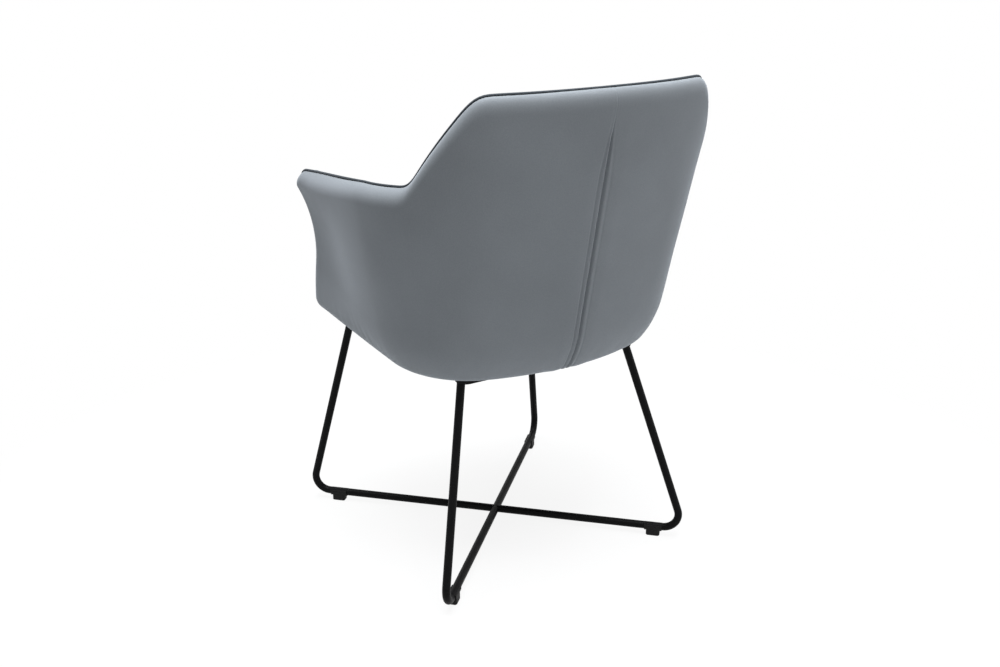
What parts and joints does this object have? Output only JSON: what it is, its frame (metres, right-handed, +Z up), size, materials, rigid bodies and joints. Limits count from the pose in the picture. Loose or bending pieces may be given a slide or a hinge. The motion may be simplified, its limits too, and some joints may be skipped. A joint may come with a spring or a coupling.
{
  "type": "armchair",
  "caption": "Padded dining armchair: a velvet shell wraps the seat as back and arms, with piped edges, on a base of bent black rods that cross at the floor.",
  "frame": {"origin": "on the floor, at the middle of the overall width and depth", "axes": "+Z up, the sitter looks along -Y, the sitter's left arm is at +X"},
  "size_m": [0.6052, 0.6069, 0.8522],
  "materials": {
    "velvet": "grey short-pile velvet with a soft sheen",
    "piping_velvet": "darker grey velvet over cord",
    "foam": "moulded seating foam, hidden",
    "plywood": "bare birch plywood, hidden",
    "lining": "thin black lining cloth",
    "black_rod": "satin black powder coat",
    "glide_plastic": "black nylon",
    "zinc_steel": "zinc-plated steel"
  },
  "bodies": {
    "root": {"arm_facing_left": "velvet", "arm_facing_right": "velvet", "back_shell": "plywood", "edge_piping": "piping_velvet", "frame_bolts": "zinc_steel", "frame_washers": "zinc_steel", "front_piping_left": "piping_velvet", "front_piping_right": "piping_velvet", "glide_front_left": "glide_plastic", "glide_front_right": "glide_plastic", "glide_rear_left": "glide_plastic", "glide_rear_right": "glide_plastic", "inner_cover": "velvet", "leg_rod_front_left": "black_rod", "leg_rod_rear_right": "black_rod", "leg_rod_through": "black_rod", "mount_bar_front": "black_rod", "mount_bar_rear": "black_rod", "outer_cover_left": "velvet", "outer_cover_right": "velvet", "seat_board": "plywood", "seat_cover": "velvet", "seat_foam": "foam", "shell_screws": "zinc_steel", "tee_nuts": "zinc_steel", "under_cloth": "lining", "wall_foam": "foam"}
  },
  "joints": []
}
